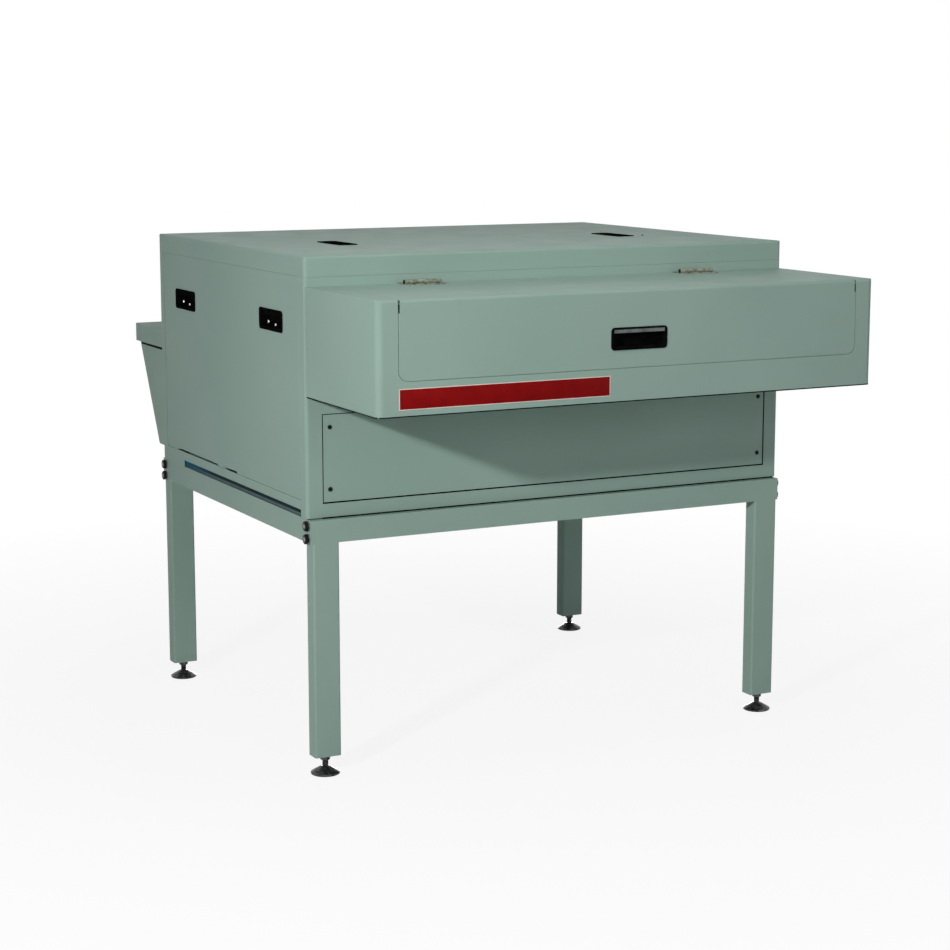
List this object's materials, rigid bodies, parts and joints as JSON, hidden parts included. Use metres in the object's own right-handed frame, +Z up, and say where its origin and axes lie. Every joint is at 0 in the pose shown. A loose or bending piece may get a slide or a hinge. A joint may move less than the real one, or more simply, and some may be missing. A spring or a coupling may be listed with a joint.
{
  "type": "film processor",
  "caption": "Free-standing sheet-metal film processor: roller racks and tanks in a cabinet on a bolted stand, with a hinged feed box in front and a film receiver behind.",
  "frame": {"origin": "floor level, under the middle of the part's outline", "axes": "+X to the right seen from the feed side, +Y from the feed box to the receiver, +Z up"},
  "size_m": [1.079, 1.3424, 1.0015],
  "materials": {
    "painted_sheet": "satin grey-green stove enamel",
    "black_bolt_steel": "black oxide",
    "zinc_steel": "zinc plated",
    "packing_rubber": "matt",
    "black_plastic": "moulded black",
    "hinge_brass": "brassed",
    "stainless_sheet": "brushed",
    "grey_paint": "dark grey paint",
    "tank_plastic": "welded sheet plastic",
    "rack_plastic": "machined sheet plastic",
    "roller_rubber": "ground rubber",
    "chain_steel": "oiled",
    "motor_paint": "motor enamel",
    "heater_steel": "polished tube"
  },
  "bodies": {
    "root": {"left_stand_frame": "painted_sheet", "right_stand_frame": "painted_sheet", "cross_rails": "painted_sheet", "base_pan": "painted_sheet", "front_panel": "painted_sheet", "access_panel": "painted_sheet", "rear_panel": "painted_sheet", "feed_housing": "painted_sheet", "receiver_bin": "painted_sheet", "frame_bolts": "black_bolt_steel", "foot_lock_nuts": "zinc_steel", "packing_strips": "packing_rubber", "dryer_fan_frame": "black_plastic", "lid_hinge_fixed": "hinge_brass", "receiver_hinge_fixed": "hinge_brass", "feed_table": "stainless_sheet", "dryer_frame": "stainless_sheet", "tank_bearers": "grey_paint", "motor_bracket": "grey_paint", "control_box": "grey_paint", "developer_tank": "tank_plastic", "fixer_tank": "tank_plastic", "wash_tank": "tank_plastic", "drain_spigots": "tank_plastic", "developer_rack": "rack_plastic", "fixer_rack": "rack_plastic", "wash_rack": "rack_plastic", "drive_chain": "chain_steel", "drive_motor": "motor_paint", "circulation_pumps": "motor_paint", "tank_heaters": "heater_steel"},
    "front_left_foot": {"foot_front_left": "zinc_steel"},
    "front_right_foot": {"foot_front_right": "zinc_steel"},
    "rear_left_foot": {"foot_rear_left": "zinc_steel"},
    "rear_right_foot": {"foot_rear_right": "zinc_steel"},
    "cover": {"top_cover": "painted_sheet", "top_pulls": "black_plastic"},
    "left_panel": {"left_side_panel": "painted_sheet", "left_pulls": "black_plastic"},
    "right_panel": {"right_side_panel": "painted_sheet", "right_pulls": "black_plastic"},
    "lid": {"feed_lid": "painted_sheet", "lid_pull": "black_plastic", "lid_hinge_leaves": "hinge_brass"},
    "receiver_flap": {"receiver_lid": "painted_sheet", "receiver_hinge_leaves": "hinge_brass"},
    "fan": {"dryer_fan_impeller": "black_plastic"},
    "feed_lower": {"feed_roller_lower": "roller_rubber"},
    "feed_upper": {"feed_roller_upper": "roller_rubber"},
    "developer_lower": {"developer_roller_lower": "roller_rubber"},
    "developer_upper": {"developer_roller_upper": "roller_rubber"},
    "fixer_lower": {"fixer_roller_lower": "roller_rubber"},
    "fixer_upper": {"fixer_roller_upper": "roller_rubber"},
    "wash_lower": {"wash_roller_lower": "roller_rubber"},
    "wash_upper": {"wash_roller_upper": "roller_rubber"},
    "exit_lower": {"exit_roller_lower": "roller_rubber"},
    "exit_upper": {"exit_roller_upper": "roller_rubber"},
    "developer_turn": {"developer_turn_roller": "roller_rubber"},
    "fixer_turn": {"fixer_turn_roller": "roller_rubber"},
    "wash_turn": {"wash_turn_roller": "roller_rubber"}
  },
  "joints": [
    {"name": "lid_hinge", "type": "hinge", "parent": "root", "child": "lid", "pos_m": [0, -0.38275, 0.948], "axis": [-1, 0, 0], "range_deg": [0, 88]},
    {"name": "cover_lift", "type": "slide", "parent": "root", "child": "cover", "axis": [0, 0, 1], "range_m": [0, 0.3]},
    {"name": "left_panel_pull", "type": "slide", "parent": "root", "child": "left_panel", "axis": [-1, 0, 0], "range_m": [0, 0.2]},
    {"name": "right_panel_pull", "type": "slide", "parent": "root", "child": "right_panel", "axis": [1, 0, 0], "range_m": [0, 0.2]},
    {"name": "receiver_hinge", "type": "hinge", "parent": "root", "child": "receiver_flap", "pos_m": [0, 0.47625, 0.792], "axis": [1, 0, 0], "range_deg": [0, 90]},
    {"name": "front_left_level", "type": "slide", "parent": "root", "child": "front_left_foot", "axis": [0, 0, -1], "range_m": [0, 0.025]},
    {"name": "front_right_level", "type": "slide", "parent": "root", "child": "front_right_foot", "axis": [0, 0, -1], "range_m": [0, 0.025]},
    {"name": "rear_left_level", "type": "slide", "parent": "root", "child": "rear_left_foot", "axis": [0, 0, -1], "range_m": [0, 0.025]},
    {"name": "rear_right_level", "type": "slide", "parent": "root", "child": "rear_right_foot", "axis": [0, 0, -1], "range_m": [0, 0.025]},
    {"name": "drive_spin", "type": "hinge", "parent": "root", "child": "developer_lower", "pos_m": [0, -0.11675, 0.7538], "axis": [1, 0, 0], "continuous": true},
    {"name": "feed_lower_spin", "type": "hinge", "parent": "root", "child": "feed_lower", "pos_m": [0, -0.30975, 0.7538], "axis": [1, 0, 0], "continuous": true},
    {"name": "feed_upper_spin", "type": "hinge", "parent": "root", "child": "feed_upper", "pos_m": [0, -0.30975, 0.7902], "axis": [1, 0, 0], "continuous": true},
    {"name": "developer_upper_spin", "type": "hinge", "parent": "root", "child": "developer_upper", "pos_m": [0, -0.11675, 0.7902], "axis": [1, 0, 0], "continuous": true},
    {"name": "fixer_lower_spin", "type": "hinge", "parent": "root", "child": "fixer_lower", "pos_m": [0, 0.03945, 0.7538], "axis": [1, 0, 0], "continuous": true},
    {"name": "fixer_upper_spin", "type": "hinge", "parent": "root", "child": "fixer_upper", "pos_m": [0, 0.03945, 0.7902], "axis": [1, 0, 0], "continuous": true},
    {"name": "wash_lower_spin", "type": "hinge", "parent": "root", "child": "wash_lower", "pos_m": [0, 0.19565, 0.7538], "axis": [1, 0, 0], "continuous": true},
    {"name": "wash_upper_spin", "type": "hinge", "parent": "root", "child": "wash_upper", "pos_m": [0, 0.19565, 0.7902], "axis": [1, 0, 0], "continuous": true},
    {"name": "exit_lower_spin", "type": "hinge", "parent": "root", "child": "exit_lower", "pos_m": [0, 0.43525, 0.7538], "axis": [1, 0, 0], "continuous": true},
    {"name": "exit_upper_spin", "type": "hinge", "parent": "root", "child": "exit_upper", "pos_m": [0, 0.43525, 0.7902], "axis": [1, 0, 0], "continuous": true},
    {"name": "developer_turn_spin", "type": "hinge", "parent": "root", "child": "developer_turn", "pos_m": [0, -0.19875, 0.69], "axis": [1, 0, 0], "continuous": true},
    {"name": "fixer_turn_spin", "type": "hinge", "parent": "root", "child": "fixer_turn", "pos_m": [0, -0.01915, 0.69], "axis": [1, 0, 0], "continuous": true},
    {"name": "wash_turn_spin", "type": "hinge", "parent": "root", "child": "wash_turn", "pos_m": [0, 0.13705, 0.69], "axis": [1, 0, 0], "continuous": true},
    {"name": "fan_spin", "type": "hinge", "parent": "root", "child": "fan", "pos_m": [-0.043, 0.32245, 0.868], "axis": [0, 0, 1], "continuous": true}
  ],
  "couplings": [
    {"joint": "feed_lower_spin", "follows": "drive_spin", "ratio": 1},
    {"joint": "feed_upper_spin", "follows": "drive_spin", "ratio": -1},
    {"joint": "developer_upper_spin", "follows": "drive_spin", "ratio": -1},
    {"joint": "fixer_lower_spin", "follows": "drive_spin", "ratio": 1},
    {"joint": "fixer_upper_spin", "follows": "drive_spin", "ratio": -1},
    {"joint": "wash_lower_spin", "follows": "drive_spin", "ratio": 1},
    {"joint": "wash_upper_spin", "follows": "drive_spin", "ratio": -1},
    {"joint": "exit_lower_spin", "follows": "drive_spin", "ratio": 1},
    {"joint": "exit_upper_spin", "follows": "drive_spin", "ratio": -1}
  ]
}
